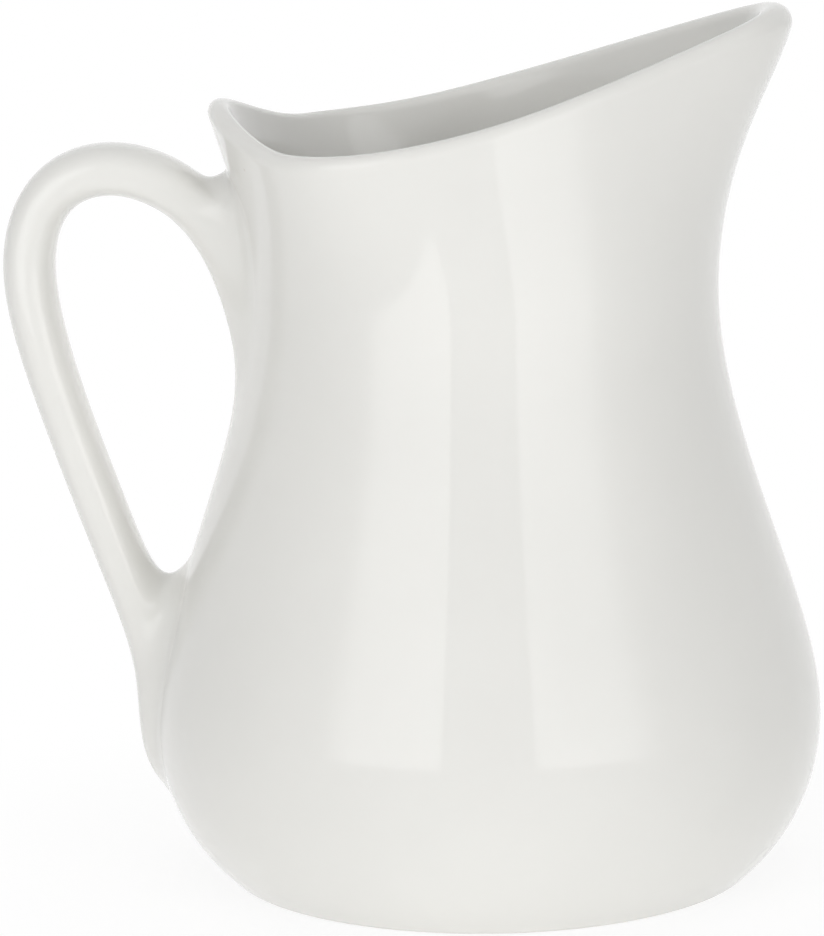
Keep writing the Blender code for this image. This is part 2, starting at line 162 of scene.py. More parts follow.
def section(angle, height):
    """Outside of the body at an angle from the beak and a height.

    A circle up to the waist.  Above it an egg: the front and back profiles give its
    length, the side profile its width, and the narrowing draws the beak out.
    """
    front, back, side = (np.interp(height, HEIGHTS, p) for p in (FRONT, BACK, SIDE))
    along = np.cos(angle)
    shaped = smooth((height - WAIST_HEIGHT) / SPOUT_RISE)
    corner = np.sin(2 * angle) ** 2
    narrowing = EGG * along + corner * np.where(along > 0, BEAK_PINCH, BACK_SHOULDER * along)
    x = (front - back) / 2 + (front + back) / 2 * along
    y = side * np.sin(angle) * (1 - shaped * narrowing)
    return np.stack((x, y, height + 0 * angle), axis=-1)


def skin(angle, height, offset=0.0):
    """Point of the outside moved along the outward normal, with that normal.

    The normal is the cross product of short steps round the body and up it.
    """
    angle, height = np.broadcast_arrays(angle, height)
    turn = NORMAL_STEP / BELLY_RADIUS
    round_step = section(angle + turn, height) - section(angle - turn, height)
    up_step = section(angle, height + NORMAL_STEP) - section(angle, height - NORMAL_STEP)
    normal = unit(np.cross(round_step, up_step))
    return section(angle, height) + normal * np.asarray(offset)[..., None], normal


def rim_line(x):
    """Height of the crest of the lip in the side view.

    One cubic falls from the ear to the dip, another rises from the dip to the beak, and
    both are level where they meet.
    """
    behind = hermite(x, -WAIST_RADIUS - BACK_OUT, WAIST_HEIGHT + EAR_RISE, EAR_SLOPE,
                     -DIP_BEHIND_AXIS, WAIST_HEIGHT + DIP_RISE, 0.0)
    before = hermite(x, -DIP_BEHIND_AXIS, WAIST_HEIGHT + DIP_RISE, 0.0,
                     WAIST_RADIUS + SPOUT_OUT, WAIST_HEIGHT + SPOUT_RISE, SPOUT_SLOPE)
    return np.where(x < -DIP_BEHIND_AXIS, behind, before)


def circles(radii, heights, angle):
    """Level circles about the axis, one for each radius and height."""
    radii, heights = np.asarray(radii)[:, None], np.asarray(heights)[:, None]
    return np.stack((radii * np.cos(angle), radii * np.sin(angle),
                     heights + 0 * angle), axis=-1)


def arc(centre, size, start, end, count):
    """Points of a circular arc in the plane of radius and height."""
    turn = np.linspace(start, end, count)
    return np.stack((centre[0] + size * np.cos(turn), centre[1] + size * np.sin(turn)), 1)


def closed_piece(name, rings):
    """One closed mesh through a stack of rings, each a row of a two-parameter grid.

    The first and last rings are closed to their middle points with a fan.
    """
    rings = np.asarray(rings, dtype=float)
    rows, around = rings.shape[:2]
    here = np.arange(around)
    there = (here + 1) % around
    start = np.arange(rows - 1)[:, None] * around
    quads = np.stack((start + here, start + there, start + around + there,
                      start + around + here), axis=-1).reshape(-1, 4)
    last = (rows - 1) * around
    first_pole, last_pole = rows * around, rows * around + 1
    fans = np.vstack((np.stack((here * 0 + first_pole, there, here), 1),
                      np.stack((last + here, last + there, here * 0 + last_pole), 1)))
    points = np.vstack((rings.reshape(-1, 3), rings[0].mean(0), rings[-1].mean(0))) + AXIS
    mesh = bpy.data.meshes.new(name)
    mesh.from_pydata(points.tolist(), [], quads.tolist() + fans.tolist())
    mesh.shade_smooth()
    mesh.set_sharp_from_angle(angle=SHARP_EDGE)
    piece = bpy.data.objects.new(name, mesh)
    bpy.context.scene.collection.objects.link(piece)
    return piece


def vessel_rings():
    """Rings from the middle of the underside, over the foot, up the outside, over the lip,
    down the inside and in to the middle of the floor.

    The underside and the floor are circles on a profile of flats, arcs and cubics.  The
    outside is the skin itself, and the inside is the skin moved in by the wall.
    """
    angle = np.arange(AROUND_BODY) * 2 * pi / AROUND_BODY
    ring_outer = FOOT_RADIUS - FOOT_ROUNDING
    ring_inner = ring_outer - FOOT_RING_WIDTH
    recess = ring_inner - RECESS_ROUNDING
    foot_front = np.interp(FOOT_ROUNDING, HEIGHTS, FRONT)
    corner = np.array((FOOT_RADIUS, 0.0))
    ceiling = np.stack((np.linspace(INNERMOST, recess, ROWS_FLAT),
                        np.full(ROWS_FLAT, RECESS_DEPTH)), 1)
    hollow = arc((recess, RECESS_DEPTH - RECESS_ROUNDING), RECESS_ROUNDING, pi / 2, 0,
                 ROWS_HOLLOW)
    edge = arc((ring_inner + RING_EDGE, RING_EDGE), RING_EDGE, pi, 1.5 * pi, ROWS_RING_EDGE)
    table_edge = bezier(np.array((ring_outer, 0.0)), corner, corner,
                        np.array((foot_front, FOOT_ROUNDING)), ROWS_FOOT_EDGE)
    underside = np.vstack((ceiling[:-1], hollow, edge, table_edge[:-1]))
    rows = [circles(underside[:, 0], underside[:, 1], angle)]

    foot = np.linspace(FOOT_ROUNDING, BELLY_HEIGHT, ROWS_FOOT, endpoint=False)
    belly = np.linspace(BELLY_HEIGHT, WAIST_HEIGHT, ROWS_BELLY, endpoint=False)
    round_part = np.concatenate((foot, belly))[:, None]
    rows.append(skin(angle, round_part)[0])

    # The lip is as thick as the wall, and fuller at the tip of the beak.  The outside of
    # each column climbs until the crest of its lip lies on the rim line
    from_beak = (angle + pi) % (2 * pi) - pi
    lip = WALL + (BEAK_LIP - WALL) * np.exp(-(from_beak / BEAK_LIP_SPREAD) ** 2)
    top = np.full_like(angle, WAIST_HEIGHT + DIP_RISE)
    for _ in range(RIM_PASSES):
        middle, outward = skin(angle, top, -lip / 2)
        along_rim = unit(np.roll(middle, -1, axis=0) - np.roll(middle, 1, axis=0))
        upward = unit(np.cross(outward, along_rim))
        crest = middle + lip[:, None] / 2 * upward
        top = top + RIM_STEP * (rim_line(crest[:, 0]) - crest[:, 2])
    share = np.linspace(0.0, 1.0, ROWS_LIP)[:, None]
    lip_heights = WAIST_HEIGHT + share * (top - WAIST_HEIGHT)
    rows.append(skin(angle, lip_heights)[0])

    # A half circle rounds the lip over, from the outside into the mouth
    rows.append([middle + lip[:, None] / 2 * (cos(turn) * outward + sin(turn) * upward)
                 for turn in np.linspace(0.0, pi, ROWS_CREST)[1:-1]])

    thickness = WALL + (lip - WALL) * share ** 3
    rows.append(skin(angle, lip_heights[::-1], -thickness[::-1])[0])
    floor_height = RECESS_DEPTH + FLOOR
    bowl = round_part[round_part[:, 0] > floor_height + WALL / 2][::-1]
    rows.append(skin(angle, bowl, -WALL + 0 * bowl)[0])

    # The floor fillet leaves the wall along its own slope and runs out level
    end, above = rows[-1][-1][0, ::2], rows[-1][-2][0, ::2]
    slope = (above[0] - end[0]) / (above[1] - end[1])
    corner = np.array((end[0] - (end[1] - floor_height) * slope, floor_height))
    floor_end = corner - (FLOOR_FILLET, 0.0)
    fillet = bezier(end, end + FILLET_DRAW * (corner - end),
                    floor_end + FILLET_DRAW * (corner - floor_end), floor_end, ROWS_FILLET)
    level = np.linspace(floor_end[0], INNERMOST, ROWS_FLAT)[1:]
    rows.append(circles(fillet[1:, 0], fillet[1:, 1], angle))
    rows.append(circles(level, np.full_like(level, floor_height), angle))
    return np.concatenate(rows)


body = closed_piece("porcelain_body", vessel_rings())
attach(body, "root")
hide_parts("body")

# ---- Glaze ----------------------------------------------------------------------------
# A clear gloss glaze, about 0.2 mm thick, fired over the white clay.  It levels almost
# flat, with a rare speck of iron under it, and is ground off the foot ring.

CLAY_WHITE = (0.80, 0.795, 0.765, 1.0)
BISCUIT = (0.70, 0.675, 0.62, 1.0)
SPECK = (0.60, 0.55, 0.49, 1.0)
SPECK_SIZE = 0.06             # radius, as a share of the speck cells
SPECK_RARITY = 0.985          # share of the cells that hold none
SPECK_CELLS = 130.0           # this scale and the next ones are per metre
CLOUD_SCALE = 28.0
RIPPLE_SCALE = 150.0
DIMPLE_SCALE = 900.0
WAVER_SCALE = 120.0
GRAIN_SCALE = 2500.0
CLAY_ROUGHNESS = 0.07
ROUGHNESS_WAVER = 0.015
BISCUIT_ROUGHNESS = 0.85
COAT_ROUGHNESS = 0.05
GLAZE_IOR = 1.5
RIPPLE_DEPTH = 0.00004
RIPPLE_STRENGTH = 0.25
DIMPLE_SHARE = 0.06           # depth of the dimpling, of the ripple's
GLAZE_EDGE_HEIGHT = 0.0002    # above the table, where the glaze starts
GLAZE_EDGE_WAVER = 0.0001
GLAZE_EDGE_BLUR = 0.00005


def new_group(name, inputs, outputs):
    """An empty shader node group with named sockets, each given as (type, name, value)."""
    group = bpy.data.node_groups.new(name, "ShaderNodeTree")
    for way, sockets in (("INPUT", inputs), ("OUTPUT", outputs)):
        for kind, label, value in sockets:
            made = group.interface.new_socket(label, in_out=way, socket_type=kind)
            if value is not None:
                made.default_value = value
    return group, group.nodes.new("NodeGroupInput"), group.nodes.new("NodeGroupOutput")


def add(tree, kind, **values):
    """A node with its properties set and the named inputs given values or links."""
    node = tree.nodes.new(kind)
    for name, value in values.items():
        if name == "inputs":
            for key, given in value.items():
                if isinstance(given, bpy.types.NodeSocket):
                    tree.links.new(given, node.inputs[key])
                else:
                    node.inputs[key].default_value = given
        else:
            setattr(node, name, value)
    return node


def glaze_colour_group():
    """Colour of glazed clay.

    A slow noise makes the colour darker or lighter by one part in a hundred, and a few
    specks of iron show, in the middle of those cells of a cell noise whose own random
    value is high.
    """
    group, given, out = new_group(
        "glaze_colour",
        [("NodeSocketColor", "Clay", CLAY_WHITE), ("NodeSocketFloat", "Speck Size", SPECK_SIZE)],
        [("NodeSocketColor", "Color", None)])
    place = add(group, "ShaderNodeTexCoord").outputs["Object"]
    cloud = add(group, "ShaderNodeTexNoise", inputs={
        "Vector": place, "Scale": CLOUD_SCALE, "Detail": 3.0, "Roughness": 0.55})
    lighter = add(group, "ShaderNodeMapRange", inputs={
        "Value": cloud.outputs["Fac"], "From Min": 0.3, "From Max": 0.7,
        "To Min": 0.985, "To Max": 1.01})
    clouded = add(group, "ShaderNodeVectorMath", operation="SCALE", inputs={
        0: given.outputs["Clay"], "Scale": lighter.outputs["Result"]})
    cells = add(group, "ShaderNodeTexVoronoi", inputs={
        "Vector": place, "Scale": SPECK_CELLS})
    near = add(group, "ShaderNodeMapRange", inputs={
        "Value": cells.outputs["Distance"], "From Min": given.outputs["Speck Size"],
        "From Max": 0.0})
    chosen = add(group, "ShaderNodeSeparateColor", inputs={0: cells.outputs["Color"]})
    rare = add(group, "ShaderNodeMath", operation="GREATER_THAN", inputs={
        0: chosen.outputs[0], 1: SPECK_RARITY})
    speck = add(group, "ShaderNodeMath", operation="MULTIPLY", inputs={
        0: near.outputs["Result"], 1: rare.outputs[0]})
    speckled = add(group, "ShaderNodeMix", data_type="RGBA", inputs={
        0: speck.outputs[0], 6: clouded.outputs[0], 7: SPECK})
    group.links.new(speckled.outputs[2], out.inputs["Color"])
    return group


def glaze_surface_group():
    """Roughness and height of the glaze: a soft ripple a few millimetres long, as glaze
    has that levelled in the kiln, with a much finer dimpling on it."""
    group, given, out = new_group(
        "glaze_surface",
        [("NodeSocketFloat", "Roughness", CLAY_ROUGHNESS), ("NodeSocketFloat", "Ripple", 1.0)],
        [("NodeSocketFloat", "Roughness", None), ("NodeSocketFloat", "Height", None)])
    place = add(group, "ShaderNodeTexCoord").outputs["Object"]
    ripple = add(group, "ShaderNodeTexNoise", inputs={
        "Vector": place, "Scale": RIPPLE_SCALE, "Detail": 1.0})
    dimple = add(group, "ShaderNodeTexNoise", inputs={
        "Vector": place, "Scale": DIMPLE_SCALE, "Detail": 1.0})
    both = add(group, "ShaderNodeMath", operation="MULTIPLY_ADD", inputs={
        0: dimple.outputs["Fac"], 1: DIMPLE_SHARE, 2: ripple.outputs["Fac"]})
    height = add(group, "ShaderNodeMath", operation="MULTIPLY", inputs={
        0: both.outputs[0], 1: given.outputs["Ripple"]})
    spread = add(group, "ShaderNodeMapRange", inputs={
        "Value": ripple.outputs["Fac"], "To Min": -ROUGHNESS_WAVER,
        "To Max": ROUGHNESS_WAVER})
    rough = add(group, "ShaderNodeMath", operation="ADD", inputs={
        0: spread.outputs["Result"], 1: given.outputs["Roughness"]})
    group.links.new(rough.outputs[0], out.inputs["Roughness"])
    group.links.new(height.outputs[0], out.inputs["Height"])
    return group


GLAZE_COLOUR = glaze_colour_group()
GLAZE_SURFACE = glaze_surface_group()


def glazed(name):
    """Clay under clear glaze: a Principled shader with a coat, fed by the two groups."""
    material = bpy.data.materials.new(name)
    material.use_nodes = True
    tree = material.node_tree
    shader = tree.nodes["Principled BSDF"]
    colour = add(tree, "ShaderNodeGroup", node_tree=GLAZE_COLOUR)
    surface = add(tree, "ShaderNodeGroup", node_tree=GLAZE_SURFACE)
    bump = add(tree, "ShaderNodeBump", inputs={
        "Strength": RIPPLE_STRENGTH, "Distance": RIPPLE_DEPTH,
        "Height": surface.outputs["Height"]})
    tree.links.new(colour.outputs["Color"], shader.inputs["Base Color"])
    tree.links.new(surface.outputs["Roughness"], shader.inputs["Roughness"])
    tree.links.new(bump.outputs["Normal"], shader.inputs["Normal"])
    shader.inputs["Specular IOR Level"].default_value = 0.0
    shader.inputs["Coat Weight"].default_value = 1.0
    shader.inputs["Coat Roughness"].default_value = COAT_ROUGHNESS
    shader.inputs["Coat IOR"].default_value = GLAZE_IOR
    return material, tree, shader, colour, surface


def ground_foot(material, tree, shader, colour, surface):
    """Adds the unglazed ring: below an uneven line just above the table the clay is bare.

    The mask is the height against the line, which a noise moves by a tenth of a
    millimetre.  Bare clay is matt, a little darker, and grainy.
    """
    place = add(tree, "ShaderNodeTexCoord").outputs["Object"]
    height = add(tree, "ShaderNodeSeparateXYZ", inputs={0: place}).outputs["Z"]
    waver = add(tree, "ShaderNodeTexNoise", inputs={"Vector": place, "Scale": WAVER_SCALE})
    line = add(tree, "ShaderNodeMapRange", inputs={
        "Value": waver.outputs["Fac"], "To Min": GLAZE_EDGE_HEIGHT - GLAZE_EDGE_WAVER,
        "To Max": GLAZE_EDGE_HEIGHT + GLAZE_EDGE_WAVER})
    above = add(tree, "ShaderNodeMath", operation="SUBTRACT", inputs={
        0: height, 1: line.outputs["Result"]})
    glazed_part = add(tree, "ShaderNodeMapRange", inputs={
        "Value": above.outputs[0], "From Min": -GLAZE_EDGE_BLUR, "From Max": GLAZE_EDGE_BLUR})
    grain = add(tree, "ShaderNodeTexNoise", inputs={
        "Vector": place, "Scale": GRAIN_SCALE, "Detail": 3.0})
    grain_tone = add(tree, "ShaderNodeMapRange", inputs={
        "Value": grain.outputs["Fac"], "From Min": 0.3, "From Max": 0.7,
        "To Min": 0.90, "To Max": 1.06})
    bare = add(tree, "ShaderNodeVectorMath", operation="SCALE", inputs={
        0: BISCUIT[:3], "Scale": grain_tone.outputs["Result"]})
    mixed = add(tree, "ShaderNodeMix", data_type="RGBA", inputs={
        0: glazed_part.outputs["Result"], 6: bare.outputs[0], 7: colour.outputs["Color"]})
    rough = add(tree, "ShaderNodeMix", data_type="FLOAT", inputs={
        0: glazed_part.outputs["Result"], 2: BISCUIT_ROUGHNESS,
        3: surface.outputs["Roughness"]})
    tree.links.new(mixed.outputs[2], shader.inputs["Base Color"])
    tree.links.new(rough.outputs[0], shader.inputs["Roughness"])
    tree.links.new(glazed_part.outputs["Result"], shader.inputs["Coat Weight"])


body_finish = glazed("glazed_porcelain")
ground_foot(*body_finish)
body.data.materials.append(body_finish[0])

# ---- Handle ---------------------------------------------------------------------------
# A cast strap, bent into an ear in the mirror plane.  Both ends flare: every line round
# the strap leaves it along its run and comes down on the body at the angle of the joint.

STRAP_THICKNESS = 0.0101
STRAP_THINNEST = 0.0093       # at the straight run down to the lower joint
THINNING = (0.38, 0.69)       # shares of the centreline between which the strap thins
STRAP_WIDTH = 0.0175
STRAP_FULLNESS = 2.5
FINGER_ROOM = 0.0373
CREST_INSET = 0.0163
CREST_RISE = 0.0252
CREST_DRAW_IN = 0.0092
CREST_DRAW_OUT = 0.0107
OUTERMOST_RISE = 0.0057
OUTERMOST_DRAW_UP = 0.0114
OUTERMOST_DRAW_DOWN = 0.0130
UPPER_START_RISE = 0.0161
UPPER_STANDOFF = 0.0057
UPPER_PITCH = radians(39.5)
UPPER_DRAW = 0.0032
LOWER_END_ABOVE_BELLY = 0.0209
LOWER_STANDOFF = 0.0062
LOWER_PITCH = radians(70.2)
LOWER_DRAW = 0.0362
UPPER_PAD_RISE = 0.0130
UPPER_PAD_UP = 0.0114
UPPER_PAD_DOWN = 0.0268
UPPER_PAD_HALF_WIDTH = 0.0110
LOWER_PAD_ABOVE_BELLY = 0.0110
LOWER_PAD_UP = 0.0175
LOWER_PAD_DOWN = 0.0247
LOWER_PAD_HALF_WIDTH = 0.0115
# The next values are each for the outer face, the flanks and the finger side: where the
# strap starts to spread before its end, the angle it comes down at, and how far its lines
# are drawn out at the strap and at the pad, as shares of their span
UPPER_CUT = (0.0150, 0.0088, 0.0096)
UPPER_ANGLE = (78.8, 34.9, 11.8)
UPPER_STRAP_DRAW = (0.67, 0.54, 0.35)
UPPER_PAD_DRAW = (0.35, 0.29, 0.22)
LOWER_CUT = (0.0028, 0.0070, 0.0182)
LOWER_ANGLE = (22.4, 41.7, 35.6)
LOWER_STRAP_DRAW = (0.61, 0.62, 0.78)
LOWER_PAD_DRAW = (0.28, 0.21, 0.29)
OUTERMOST = WAIST_RADIUS + FINGER_ROOM + STRAP_THICKNESS / 2
CREST = np.array((CREST_INSET - OUTERMOST, WAIST_HEIGHT + CREST_RISE))
SEAT = 0.0014                 # the strap ends this far above the skin, on its slip
SEAT_SHARES = (0.3, 0.6, 0.9)           # rings of an end face, inside its outline
AROUND_HANDLE = 112
ROWS_STRAP, ROWS_SKIRT = 170, 34
ROUND_STRAP = np.arange(AROUND_HANDLE) * 2 * pi / AROUND_HANDLE


def back_radius(height):
    """Distance from the axis to the back of the body."""
    return np.interp(height, HEIGHTS, BACK)


def strap_spine():
    """Centreline of the strap in X and Z.

    Three cubic curves, from the upper joint to the crest, to the outermost point and to
    the lower joint, which share their direction where they meet.
    """
    start_height = WAIST_HEIGHT + UPPER_START_RISE
    end_height = BELLY_HEIGHT + LOWER_END_ABOVE_BELLY
    start = np.array((-back_radius(start_height) - UPPER_STANDOFF, start_height))
    outermost = np.array((-OUTERMOST, WAIST_HEIGHT + OUTERMOST_RISE))
    end = np.array((-back_radius(end_height) - LOWER_STANDOFF, end_height))
    leaving = np.array((-cos(UPPER_PITCH), sin(UPPER_PITCH)))
    landing = np.array((cos(LOWER_PITCH), -sin(LOWER_PITCH)))
    up, down = np.array((0.0, OUTERMOST_DRAW_UP)), np.array((0.0, OUTERMOST_DRAW_DOWN))
    return np.vstack((
        bezier(start, start + UPPER_DRAW * leaving, CREST + (CREST_DRAW_IN, 0), CREST,
               CURVE_POINTS),
        bezier(CREST, CREST - (CREST_DRAW_OUT, 0), outermost + up, outermost,
               CURVE_POINTS)[1:],
        bezier(outermost, outermost - down, end - LOWER_DRAW * landing, end,
               CURVE_POINTS)[1:],
    ))


SPINE = strap_spine()
STEPS = np.linalg.norm(np.diff(SPINE, axis=0), axis=1)
SPINE_LENGTH = np.concatenate(((0.0,), np.cumsum(STEPS)))


def around_joint(values):
    """Outer, flank and finger-side values blended round the strap by squared cosines."""
    outer, flank, finger = values
    along = np.cos(ROUND_STRAP)
    return np.where(along > 0, outer, finger) * along ** 2 + flank * np.sin(ROUND_STRAP) ** 2


def strap_ring(distance):
    """Section of the strap at distances along the centreline, and the way the strap runs.

    The section is a superellipse, |a|^n + |b|^n = 1, across the centreline.
    """
    def at(place):
        return np.stack([np.interp(place, SPINE_LENGTH, SPINE[:, k]) for k in (0, 1)], -1)

    step = 2 * NORMAL_STEP
    centre = at(distance)
    along = unit(at(distance + step) - at(distance - step))
    across, sideways = np.cos(ROUND_STRAP), np.sin(ROUND_STRAP)
    power = 2 / STRAP_FULLNESS
    thinned = smooth((distance / SPINE_LENGTH[-1] - THINNING[0]) / (THINNING[1] - THINNING[0]))
    thickness = STRAP_THICKNESS + (STRAP_THINNEST - STRAP_THICKNESS) * thinned
    across = np.sign(across) * np.abs(across) ** power * thickness / 2
    sideways = np.sign(sideways) * np.abs(sideways) ** power * STRAP_WIDTH / 2
    ring = np.stack((centre[..., 0] + along[..., 1] * across, sideways + 0 * centre[..., 0],
                     centre[..., 1] - along[..., 0] * across), axis=-1)
    running = np.stack((along[..., 0], 0 * along[..., 0], along[..., 1]), axis=-1)
    return ring, running


class Joint:
    """A pad on the back of the body on which one end of the strap spreads and lands.

    Its outline is an ellipse with a longer reach towards one end: the height goes with the
    cosine of the angle round the strap, and the place sideways with its sine.
    """

    def __init__(self, height, outer_reach, finger_reach, half_width, up, angle):
        self.height = height
        across = np.cos(ROUND_STRAP)
        reach = finger_reach + (outer_reach - finger_reach) * smooth((1 + across) / 2)
        self.across = reach * across * up
        self.sideways = half_width * np.sin(ROUND_STRAP)
        outline = np.stack((self.across, self.sideways), axis=-1)
        tangent = np.roll(outline, -1, axis=0) - np.roll(outline, 1, axis=0)
        self.facing = up * unit(np.stack((tangent[:, 1], -tangent[:, 0]), axis=-1))
        self.angle = around_joint([radians(a) for a in angle])

    def at(self, share, offset, beyond=0.0):
        """Ring on the pad: a share of its outline, and a distance square to it beyond."""
        height = self.height + share * self.across + beyond * self.facing[:, 0]
        sideways = share * self.sideways + beyond * self.facing[:, 1]
        angle = pi - np.arcsin(sideways / np.interp(height, HEIGHTS, SIDE))
        return skin(angle, height, offset + 0 * height)

    def edge(self):
        """Outline of the strap's end, and the way its surface comes down on the body."""
        ring, normal = self.at(1.0, SEAT)
        outwards = unit(self.at(1.0, SEAT, beyond=0.0003)[0] - ring)
        falling = outwards * np.cos(self.angle)[:, None] - normal * np.sin(self.angle)[:, None]
        return ring, unit(falling)


UPPER_JOINT = Joint(WAIST_HEIGHT + UPPER_PAD_RISE, UPPER_PAD_UP, UPPER_PAD_DOWN,
                    UPPER_PAD_HALF_WIDTH, 1.0, UPPER_ANGLE)
LOWER_JOINT = Joint(BELLY_HEIGHT + LOWER_PAD_ABOVE_BELLY, LOWER_PAD_DOWN, LOWER_PAD_UP,
                    LOWER_PAD_HALF_WIDTH, -1.0, LOWER_ANGLE)


def skirt(joint, cut, towards, strap_draw, pad_draw):
    """Rings that carry the section of the strap over into the outline of its end, each
    line a cubic curve from a slanting cut of the strap to the pad."""
    start, running = strap_ring(cut)
    end, falling = joint.edge()
    span = np.linalg.norm(end - start, axis=1, keepdims=True)
    return bezier(start, start + towards * running * span * around_joint(strap_draw)[:, None],
                  end - falling * span * around_joint(pad_draw)[:, None], end, ROWS_SKIRT)


def handle_rings():
    """Rings from inside the upper slip, along the strap, to inside the lower slip."""
    upper_cut = around_joint(UPPER_CUT)
    lower_cut = SPINE_LENGTH[-1] - around_joint(LOWER_CUT)
    upper = skirt(UPPER_JOINT, upper_cut, -1.0, UPPER_STRAP_DRAW, UPPER_PAD_DRAW)
    lower = skirt(LOWER_JOINT, lower_cut, 1.0, LOWER_STRAP_DRAW, LOWER_PAD_DRAW)
    shares = np.linspace(0.0, 1.0, ROWS_STRAP)[:, None]
    strap = strap_ring(upper_cut + shares * (lower_cut - upper_cut))[0]
    upper_end = [UPPER_JOINT.at(share, SEAT / 2)[0] for share in SEAT_SHARES]
    lower_end = [LOWER_JOINT.at(share, SEAT / 2)[0] for share in SEAT_SHARES[::-1]]
    return np.concatenate((upper_end, upper[:0:-1], strap, lower[1:], lower_end))


handle = closed_piece("strap_handle", handle_rings())
handle.data.materials.append(glazed("glazed_handle")[0])
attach(handle, "root")
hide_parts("handle")

# ---- Slip at the joints ---------------------------------------------------------------
# The slip that lutes the handle on, squeezed out and wiped with a finger to a hollow
# fillet, then fired under the same glaze, so that no line shows where it meets the clay.

SLIP_TUCK = 0.0006            # how far the slip starts under the strap's surface
SLIP_TUCK_DEPTH = 0.03        # how deep it lies there, as a share of the tuck
SLIP_FACE = 0.7               # height of its hidden upper face, as a share of the seat
SLIP_SUNK = 0.0003            # how far its hidden edge lies under the skin of the body
SLIP_RUN_OUT = ((0.0005, 0.000003), (0.0010, 0.000015), (0.0018, SLIP_SUNK))
ROWS_SLIP = 24


def slip_rings(joint):
    """Rings of one joint's slip.

    It starts tucked just under the strap's surface.  From the edge of the strap each line
    follows a parabola that leaves along that surface and runs out level on the body, where
    it goes on just under the skin, by the pairs of distance and depth of the run-out.
    """
    corner = SEAT / np.tan(joint.angle)
    end = SEAT / np.tan(joint.angle / 2)
    rings = [joint.at(share, SLIP_FACE * SEAT)[0] for share in SEAT_SHARES[:2]]
    for tuck in (SLIP_TUCK, SLIP_TUCK / 2):
        rings.append(joint.at(1.0, SEAT + tuck * np.sin(joint.angle) - SLIP_TUCK_DEPTH * tuck,
                              beyond=-tuck * np.cos(joint.angle))[0])
    for share in np.linspace(0.0, 1.0, ROWS_SLIP):
        beyond = 2 * share * (1 - share) * corner + share ** 2 * end
        rings.append(joint.at(1.0, SEAT * (1 - share) ** 2, beyond=beyond)[0])
    for past, depth in SLIP_RUN_OUT:
        rings.append(joint.at(1.0, -depth, beyond=end + past)[0])
    rings += [joint.at(share, -SLIP_SUNK)[0] for share in (1.0, 0.6, 0.3)]
    return np.asarray(rings[::-1] if joint.across[0] > 0 else rings)


slip_finish = glazed("glazed_slip")[0]
for node, joint in (("upper_joint_slip", UPPER_JOINT), ("lower_joint_slip", LOWER_JOINT)):
    slip = closed_piece(node.replace("joint_slip", "slip_fillet"), slip_rings(joint))
    slip.data.materials.append(slip_finish)
    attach(slip, "root")
    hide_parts(node)

# ---- Table and light tent -------------------------------------------------------------
# A white table inside a tent of white cloth, lit from the left and right in front.  The
# lens and the glaze see both as plain white, but for the pitcher's own faint shadow.

TABLE_WHITE = (0.88, 0.88, 0.88, 1.0)
TABLE_GLOW = 0.26             # light that comes up through the table
SHADOW_SHARE = 0.20           # of the table's tone round the foot that comes from its light
SHADOW_REACH = 0.15           # from the axis, to where the table is plain white
TABLE_DROP = 0.0001           # keeps the table's face just clear of the foot ring
TABLE_HALF = 6.0


def seen_white(tree):
    """1 for the rays of the lens, of the glaze's reflections, and through clear things."""
    path = add(tree, "ShaderNodeLightPath")
    lens_or_gloss = add(tree, "ShaderNodeMath", operation="MAXIMUM", inputs={
        0: path.outputs["Is Camera Ray"], 1: path.outputs["Is Glossy Ray"]})
    return add(tree, "ShaderNodeMath", operation="MAXIMUM", inputs={
        0: lens_or_gloss.outputs[0], 1: path.outputs["Is Transmission Ray"]}).outputs[0]


table_mesh = bpy.data.meshes.new("table")
table_mesh.from_pydata([(TABLE_HALF * x, TABLE_HALF * y, -TABLE_DROP)
                        for x, y in ((-1, -1), (1, -1), (1, 1), (-1, 1))], [], [(0, 1, 2, 3)])
table = bpy.data.objects.new("table", table_mesh)
bpy.context.scene.collection.objects.link(table)

table_finish = bpy.data.materials.new("white_table")
table_finish.use_nodes = True
tree = table_finish.node_tree
tree.nodes.clear()
matt = add(tree, "ShaderNodeBsdfDiffuse", inputs={"Color": TABLE_WHITE})
glow = add(tree, "ShaderNodeEmission", inputs={"Strength": TABLE_GLOW})
lit = add(tree, "ShaderNodeAddShader", inputs={0: matt.outputs[0], 1: glow.outputs[0]})
paper = add(tree, "ShaderNodeEmission", inputs={"Strength": 1.0})
place = add(tree, "ShaderNodeTexCoord").outputs["Object"]
from_axis = add(tree, "ShaderNodeVectorMath", operation="DISTANCE", inputs={
    0: place, 1: AXIS})
plain = add(tree, "ShaderNodeMapRange", interpolation_type="SMOOTHSTEP", inputs={
    "Value": from_axis.outputs["Value"], "From Min": FOOT_RADIUS, "From Max": SHADOW_REACH,
    "To Min": 1 - SHADOW_SHARE, "To Max": 1.0})
share = add(tree, "ShaderNodeMath", operation="MULTIPLY", inputs={
    0: seen_white(tree), 1: plain.outputs["Result"]})
blend = add(tree, "ShaderNodeMixShader", inputs={
    0: share.outputs[0], 1: lit.outputs[0], 2: paper.outputs[0]})
# Clear from below, so that the foot can be looked at
clear = add(tree, "ShaderNodeBsdfTransparent")
one_way = add(tree, "ShaderNodeMixShader", inputs={
    0: add(tree, "ShaderNodeNewGeometry").outputs["Backfacing"],
    1: blend.outputs[0], 2: clear.outputs[0]})
add(tree, "ShaderNodeOutputMaterial", inputs={"Surface": one_way.outputs[0]})
table_mesh.materials.append(table_finish)

